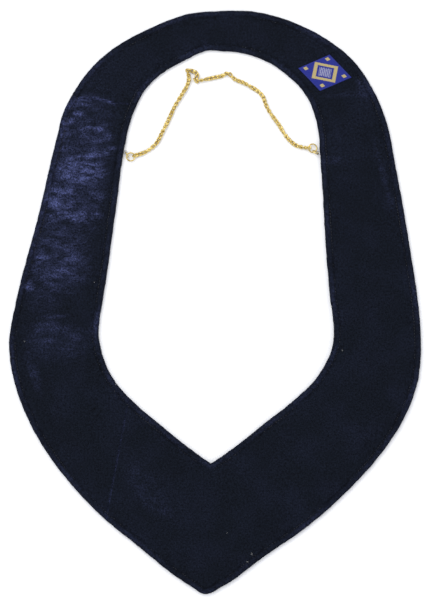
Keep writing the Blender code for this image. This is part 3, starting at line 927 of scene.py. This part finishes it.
def edge_fuzz(band, finish, settings):
    """Loose pile that stands out from the rolled edges, as one mesh of fine hairs."""
    rng = np.random.default_rng(21)
    outer, inner = band.edges(band.all_round(HAIR_STEP)[:-1])
    parts = []
    for edge, other in ((inner, outer), (outer, inner)):
        for place, off in zip(edge, unit(edge - other)):
            lean = rng.normal(0.0, 0.5)
            heading = np.array((off[0] * math.cos(lean) - off[1] * math.sin(lean),
                                off[0] * math.sin(lean) + off[1] * math.cos(lean)))
            start = place - off * rng.uniform(0.4, 1.0) + rng.normal(0.0, 0.15, 2)
            long = settings.fuzz / MM * rng.uniform(0.5, 1.3)
            height = rng.uniform(0.6, BACK_TOP - 0.8)
            tip = start + heading * (long + 0.4)
            path = np.array([(*start, height), (*tip, height + rng.uniform(-0.2, 0.3))]) * MM
            parts.append(tube(path, HAIR_WIDE / 2 * MM, 3, taper=(1.0, 0.3)))
    piece = mesh_piece("edge_pile", parts, finish, "velvet")
    # The loose hairs get a little of the painted sheen
    write_attribute(piece, "nap_sheen", "FLOAT", np.full(len(piece.data.vertices), 0.2))
    return piece


def lint(finish):
    """Tangles of fluff lying on the pile, as one mesh."""
    rng = np.random.default_rng(5)
    parts = []
    for x, y, size in LINT:
        for _strand in range(LINT_STRANDS):
            start = rng.normal(0.0, size / 4, 2)
            turn = rng.uniform(0, 2 * math.pi)
            bend = rng.uniform(-1.2, 1.2)
            steps = np.linspace(0, 1, 6)
            heading = turn + bend * steps
            path = np.cumsum(np.column_stack([np.cos(heading), np.sin(heading)]), axis=0) * size / 9
            path = path - path.mean(axis=0) + start + (x, y)
            height = BACK_TOP + 0.45 + rng.uniform(0.0, 0.3) + 0.1 * np.sin(steps * 5)
            parts.append(tube(np.column_stack([path, height]) * MM, LINT_WIDE / 2 * MM, 4))
    return mesh_piece("lint", parts, finish, "thread")


# Label

def label_corners():
    """The label's four corners in order round it, in mm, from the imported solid's underside."""
    points = node_points("woven_label") / MM
    base = points[:, 2].min()
    flat = np.unique(np.round(points[points[:, 2] < base + 0.01][:, :2], 4), axis=0)
    middle = flat.mean(axis=0)
    turn = np.arctan2(flat[:, 1] - middle[1], flat[:, 0] - middle[0])
    return flat[np.argsort(turn)], base


def woven_label(finish):
    """A thin woven patch, folded under at its edges, that lies on the velvet in slight waves."""
    corners, base = label_corners()
    middle = corners.mean(axis=0)
    # The side that points most to the right is the first direction
    right, top = max(
        ((corners[i] - corners[i - 1], corners[(i + 1) % 4] - corners[i]) for i in range(4)),
        key=lambda pair: pair[0][0],
    )
    long, tall = np.linalg.norm(right), np.linalg.norm(top)
    share = np.linspace(-0.5, 0.5, LABEL_STEPS + 1)
    side, end = np.meshgrid(share, share, indexing="ij")
    places = middle + side[..., None] * right + end[..., None] * top
    near = np.minimum((0.5 - np.abs(side)) * long, (0.5 - np.abs(end)) * tall)
    waves = LABEL_WAVE * wander(places.reshape(-1, 2), seed=17, size=16.0).reshape(near.shape)
    sewn = LABEL_WAVE * bell(near - LABEL_STITCH_INSET, wide=0.35)
    height = LABEL_THICK * roll(near, reach=0.5) + waves * smooth_steps(near / 3) - sewn
    upper = np.concatenate([places, base + np.maximum(height, 0.05)[..., None]], axis=2)
    rings, faces = closed_ply(upper, base)
    piece = mesh_piece("label_damask", [(rings.reshape(-1, 3) * MM, faces)], finish, "label",
                       stands_for=("woven_label",))
    spot = np.stack([side * long, end * tall, np.zeros(side.shape)], axis=2)
    spot = np.concatenate([spot, spot[:, -2:0:-UNDER_STEP]], axis=1) * MM
    write_attribute(piece, "label", "FLOAT_VECTOR", spot)
    sew_label(middle, right, top, base + LABEL_THICK)
    return piece


def sew_label(middle, right, top, height):
    """Blue stitches round the label, as one mesh."""
    long, tall = np.linalg.norm(right), np.linalg.norm(top)
    lift = height + np.array([-0.2, 0.0, 0.0, -0.2])
    parts = []
    for direction, other, reach, away in ((right, top, long, tall), (top, right, tall, long)):
        span = reach - 2 * LABEL_STITCH_INSET
        count = int(span / LABEL_STITCH_PITCH)
        for sign in (-1, 1):
            centre = middle + other * sign * (0.5 - LABEL_STITCH_INSET / away)
            for stitch in range(count):
                spot = ((stitch + 0.5) / count - 0.5) * span
                spots = spot + np.linspace(-0.5, 0.5, len(lift)) * LABEL_STITCH_LONG
                path = centre + direction / reach * spots[:, None]
                parts.append(tube(np.column_stack([path, lift]) * MM, LABEL_THREAD_WIDE / 2 * MM, 5))
    return mesh_piece("label_stitches", parts, polyester_thread("blue_polyester_thread", "#2b3690"),
                      "thread")


# Chain, rings and the thread that holds them

def chain_line(links):
    """The line that the chain lies along, in mm: through the joints of the solids' links."""
    ends = []
    for node in links:
        middle, axes, size = main_axes(node)
        reach = axes[:, 0] * (size[0] / 2 - size[2])
        ends.append((middle - reach, middle + reach))
    joints = []
    for number, (first, second) in enumerate(ends):
        ahead = ends[number + 1] if number + 1 < len(ends) else ends[number - 1]
        target = (ahead[0] + ahead[1]) / 2
        near, far = sorted((first, second), key=lambda end: np.linalg.norm(end - target))
        joints.append((far, near) if number + 1 < len(ends) else (near, far))
    line = [joints[0][0]]
    line += [(before[1] + after[0]) / 2 for before, after in zip(joints, joints[1:])]
    line.append(joints[-1][1])
    line = np.array(line)[:, :2] / MM
    # The fold is tighter than the solids' longer links can turn, so it has its own few places
    fold = np.array(FOLD)
    low, high = fold.min(axis=0) - (0.5, 0.5), fold.max(axis=0) + (0.5, 4.0)
    folded = np.all((line > low) & (line < high), axis=1)
    first, last = np.nonzero(folded)[0][[0, -1]]
    return np.vstack([line[:first], fold, line[last + 1:]])


def rounded(line, rounds=3):
    """The line with its corners cut again and again."""
    for _round in range(rounds):
        near, far = line[:-1] * 0.75 + line[1:] * 0.25, line[:-1] * 0.25 + line[1:] * 0.75
        line = np.vstack([line[:1], np.stack([near, far], axis=1).reshape(-1, 2), line[-1:]])
    return line


def curb_link():
    """Middle line of one curb link, in mm: an oval twisted so that its neighbours lie flat beside it."""
    turn = np.arange(LINK_STEPS) * 2 * math.pi / LINK_STEPS
    across, aside = (
        np.sign(wave) * np.abs(wave) ** CURB_SQUARE for wave in (np.cos(turn), np.sin(turn))
    )
    return np.column_stack([
        across * (CURB_LONG - CURB_WIRE) / 2, aside * (CURB_WIDE - CURB_WIRE) / 2,
        CURB_TWIST * across * aside,
    ])


def lay_links(links):
    """Each small link's middle line where it lies, in mm, from the left ring to the right."""
    line = rounded(chain_line(links))
    lengths = lengths_along(line)
    first = CURB_LONG / 2 - CURB_WIRE
    usable = lengths[-1] - 2 * first
    count = int(round(usable / CURB_PITCH)) + 1
    shape = curb_link()
    rng = np.random.default_rng(9)
    starts = rng.uniform(0, 2 * math.pi, len(CURB_WAVES))
    laid = []
    for spot in first + np.linspace(0.0, usable, count):
        place, ahead, behind = places_on(line, lengths, spot + np.array((0.0, 1.4, -1.4)))
        heading = (ahead - behind) / np.linalg.norm(ahead - behind)
        # The chain isn't laid straight: it turns about its own line, and shows its edge here and there
        degrees = rng.normal(0.0, CURB_UNEVEN)
        for (long, share), start in zip(CURB_WAVES, starts):
            degrees += share * CURB_ROLL * math.sin(2 * math.pi * spot / long + start)
        turn = math.radians(degrees)
        along = np.array((*heading, 0.0))
        beside = np.array((-heading[1] * math.cos(turn), heading[0] * math.cos(turn), math.sin(turn)))
        path = shape @ np.stack([along, beside, np.cross(along, beside)])
        path[:, :2] += place
        path[:, 2] += CURB_WIRE / 2 + 0.05 - path[:, 2].min()
        laid.append(path)
    return laid


def ring_outline(width):
    """A flat circle of points."""
    turns = np.arange(RING_STEPS) * 2 * math.pi / RING_STEPS
    return np.column_stack([np.cos(turns), np.sin(turns)]) * width / 2


def thread_loops(side, finish):
    """Turns of thread from the edge of the cloth round the connector, as one mesh."""
    node = f"thread_loop_{side}"
    points = node_points(node)
    middle = points.mean(axis=0)
    low, high = points[:, 2].min(), points[:, 2].max()
    thick = high - low
    off = np.array((main_axes(f"connector_ring_{side}")[0][0] - middle[0], 0.0))
    off = off / np.linalg.norm(off)
    axes = np.column_stack([off, (-off[1], off[0])])
    spread = (points[:, :2] - middle[:2]) @ axes
    (back, near), (tip, far) = spread.min(axis=0), spread.max(axis=0)
    half = (far - near - thick) / 2
    turns = np.linspace(-math.pi / 2, math.pi / 2, 13)
    rng = np.random.default_rng(31)
    parts = []
    for number in range(LOOP_TURNS):
        lift = (number - (LOOP_TURNS - 1) / 2) * LOOP_LIFT * MM
        reach = half + rng.uniform(-0.05, 0.05) * MM
        bend = np.column_stack([np.cos(turns) * reach + tip - thick / 2 - half,
                                np.sin(turns) * reach + (near + far) / 2])
        flat = np.vstack([(back, bend[0, 1]), bend, (back, bend[-1, 1])])
        place = middle[:2] + flat @ axes.T
        path = np.column_stack([place, np.full(len(place), (low + high) / 2 + lift)])
        parts.append(tube(path, thick / LOOP_SHARE, 6))
    return mesh_piece(f"thread_turns_{side}", parts, finish, "thread", stands_for=(node,))


# Operators, one for each group of pieces and one for the stage

class CollarOperator:
    """What the collar's operators share."""

    bl_options = {"REGISTER", "UNDO"}

    def settings(self, context):
        """The scene's settings for the collar."""
        return getattr(context.scene, SETTINGS)


def shared_material(name, make, settings):
    """The material of that name, made the first time it is asked for."""
    return bpy.data.materials.get(name) or make(settings)


class COLLAR_OT_velvet(CollarOperator, bpy.types.Operator):
    """Build the face ply and the two pieces of back velvet"""
    bl_idname = "collar.velvet"
    bl_label = "Velvet"

    def execute(self, context):
        settings = self.settings(context).velvet
        finish = shared_material("navy_cotton_velvet", cotton_velvet, settings)
        band = Band()
        front_seam, shoulder_seam = band.seams
        lay_flat(velvet_front(band, finish))
        for side, start, end in (
            ("left", front_seam, shoulder_seam), ("main", shoulder_seam, front_seam + band.count),
        ):
            ply = velvet_back(f"velvet_back_{side}", f"back_velvet_{side}", band, start, end, finish,
                              settings)
            lay_flat(ply)
        return {"FINISHED"}


class COLLAR_OT_stitches(CollarOperator, bpy.types.Operator):
    """Sew the two rows of topstitching"""
    bl_idname = "collar.stitches"
    bl_label = "Topstitching"

    def execute(self, context):
        finish = polyester_thread("navy_polyester_thread", "#12161f")
        topstitching(Band(), finish)
        return {"FINISHED"}


class COLLAR_OT_fuzz(CollarOperator, bpy.types.Operator):
    """Let loose pile stand out from the rolled edges, and drop the lint"""
    bl_idname = "collar.fuzz"
    bl_label = "Edge pile and lint"

    def execute(self, context):
        settings = self.settings(context).velvet
        finish = shared_material("navy_cotton_velvet", cotton_velvet, settings)
        edge_fuzz(Band(), finish, settings)
        lint(cotton_lint())
        return {"FINISHED"}


class COLLAR_OT_label(CollarOperator, bpy.types.Operator):
    """Weave the label and sew it on"""
    bl_idname = "collar.label"
    bl_label = "Woven label"

    def execute(self, context):
        label = woven_label(damask_label(self.settings(context).label))
        lay_flat(label)
        return {"FINISHED"}


class COLLAR_OT_chain(CollarOperator, bpy.types.Operator):
    """Lay the curb chain from ring to ring"""
    bl_idname = "collar.chain"
    bl_label = "Chain"

    def execute(self, context):
        settings = self.settings(context).gold
        finish = shared_material("gold_plated_brass", gold_plated_brass, settings)
        links = sorted(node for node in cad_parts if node.startswith("chain_link_"))
        if not links:
            raise RuntimeError("the packed model has no chain links")
        middles = np.array([main_axes(node)[0] for node in links]) / MM
        groups = defaultdict(list)
        for path in lay_links(links):
            nearest = np.argmin(np.linalg.norm(middles[:, :2] - path.mean(axis=0)[:2], axis=1))
            groups[nearest].append(closed_wire(path * MM, CURB_WIRE * MM, settings.wire_sides))
        # The first group also stands for any solid link that no small link is nearest to
        spare = [node for number, node in enumerate(links) if number not in groups]
        for number, parts in sorted(groups.items()):
            stands_for = [links[number]] + (spare if number == min(groups) else [])
            mesh_piece(f"curb_links_{number + 1:02d}", parts, finish, "gold", stands_for=stands_for)
        return {"FINISHED"}


class COLLAR_OT_rings(CollarOperator, bpy.types.Operator):
    """Bend the chain's end rings and the connectors that the thread holds"""
    bl_idname = "collar.rings"
    bl_label = "Rings"

    def execute(self, context):
        settings = self.settings(context).gold
        finish = shared_material("gold_plated_brass", gold_plated_brass, settings)
        for side in ("left", "right"):
            for kind in ("end_ring", "connector_ring"):
                node = f"{kind}_{side}"
                middle, axes, (wide, _other, wire) = main_axes(node)
                path = middle + ring_outline(wide - wire) @ axes[:, :2].T
                mesh_piece(f"{kind}_wire_{side}", [closed_wire(path, wire, settings.wire_sides)],
                           finish, "gold", stands_for=(node,))
        return {"FINISHED"}


class COLLAR_OT_thread(CollarOperator, bpy.types.Operator):
    """Loop the sewing thread that holds the chain at each side"""
    bl_idname = "collar.thread"
    bl_label = "Thread loops"

    def execute(self, context):
        finish = polyester_thread("grey_polyester_thread", "#6d6f78")
        for side in ("left", "right"):
            thread_loops(side, finish)
        return {"FINISHED"}


class COLLAR_OT_stage(CollarOperator, bpy.types.Operator):
    """Lay the floor, and set the lights and the camera"""
    bl_idname = "collar.stage"
    bl_label = "Stage"

    def execute(self, context):
        settings = self.settings(context).stage
        low, high = CAD_BOX
        middle = (low + high) / 2
        corners = FLOOR_HALF * np.array([(-1, -1, 0), (1, -1, 0), (1, 1, 0), (-1, 1, 0)])
        floor = mesh_piece("floor", [(corners, [(0, 1, 2, 3)])], emulsion_board(settings), "",
                           smooth=False)
        floor.location.z = -FLOOR_GAP

        world = context.scene.world or bpy.data.worlds.new("Studio")
        context.scene.world = world
        world.use_nodes = True
        world.node_tree.nodes.clear()
        sky = add(world.node_tree, "Background", {"Color": linear("#f6f8ff"), "Strength": settings.sky})
        add(world.node_tree, "OutputWorld", {"Surface": sky})
        # Plain display, so that the hex colours show as they are
        context.scene.view_settings.view_transform = "Standard"

        # Name, place, size and power of each lamp
        for name, place, size, power in (
            ("key", (-0.5, 0.9, 1.5), 1.2, settings.key),
            ("fill_left", (-1.4, -0.3, 0.9), 1.0, settings.fill),
            ("fill_right", (1.4, -0.2, 0.9), 1.0, settings.fill),
        ):
            lamp = bpy.data.lights.new(name, "AREA")
            lamp.shape = "SQUARE"
            lamp.size = size
            lamp.energy = power
            item = bpy.data.objects.new(name, lamp)
            item.location = place
            item.rotation_euler = (middle - Vector(place)).to_track_quat("-Z", "Y").to_euler()
            context.scene.collection.objects.link(item)

        # The camera looks straight down, and the collar fills the picture as it does the photograph
        scale = (high.x - low.x) / (PHOTO_RIGHT - PHOTO_LEFT)
        view = bpy.data.cameras.new("camera")
        view.sensor_fit = "VERTICAL"
        view.sensor_height = 36.0
        camera = bpy.data.objects.new("camera", view)
        aim_x = middle.x + (PHOTO_WIDE / 2 - PHOTO_MIDDLE[0]) * scale
        aim_y = middle.y - (PHOTO_TALL / 2 - PHOTO_MIDDLE[1]) * scale
        camera.location = (aim_x, aim_y, high.z + CAMERA_HEIGHT)
        to_cloth = CAMERA_HEIGHT + high.z - BACK_BASE * MM
        view.lens = view.sensor_height * to_cloth / (PHOTO_TALL * scale)
        view.clip_end = 50.0
        context.scene.collection.objects.link(camera)
        context.scene.camera = camera
        return {"FINISHED"}


OPERATORS = (
    COLLAR_OT_velvet, COLLAR_OT_stitches, COLLAR_OT_fuzz, COLLAR_OT_label, COLLAR_OT_chain,
    COLLAR_OT_rings, COLLAR_OT_thread, COLLAR_OT_stage,
)


# Panel and registration

class COLLAR_PT_pieces(bpy.types.Panel):
    """The collar's settings and the buttons that build its pieces"""
    bl_idname = "COLLAR_PT_pieces"
    bl_label = "Officer's Collar"
    bl_space_type = "VIEW_3D"
    bl_region_type = "UI"
    bl_category = "Collar"

    def draw(self, context):
        settings = getattr(context.scene, SETTINGS)
        for name in ("velvet", "gold", "label", "stage"):
            box = self.layout.box()
            box.label(text=name.capitalize())
            group = getattr(settings, name)
            for field in group.bl_rna.properties:
                if not field.is_readonly and field.identifier != "name":
                    box.prop(group, field.identifier)
        for operator in OPERATORS:
            self.layout.operator(operator.bl_idname)


CLASSES = (
    VelvetSettings, GoldSettings, LabelSettings, StageSettings, CollarSettings, *OPERATORS,
    COLLAR_PT_pieces,
)


def register():
    for item in CLASSES:
        bpy.utils.register_class(item)
    setattr(bpy.types.Scene, SETTINGS, PointerProperty(type=CollarSettings))


def unregister():
    delattr(bpy.types.Scene, SETTINGS)
    for item in reversed(CLASSES):
        bpy.utils.unregister_class(item)


def main():
    register()
    for operator in OPERATORS:
        group, name = operator.bl_idname.split(".")
        getattr(getattr(bpy.ops, group), name)()


if __name__ == "__main__":
    main()
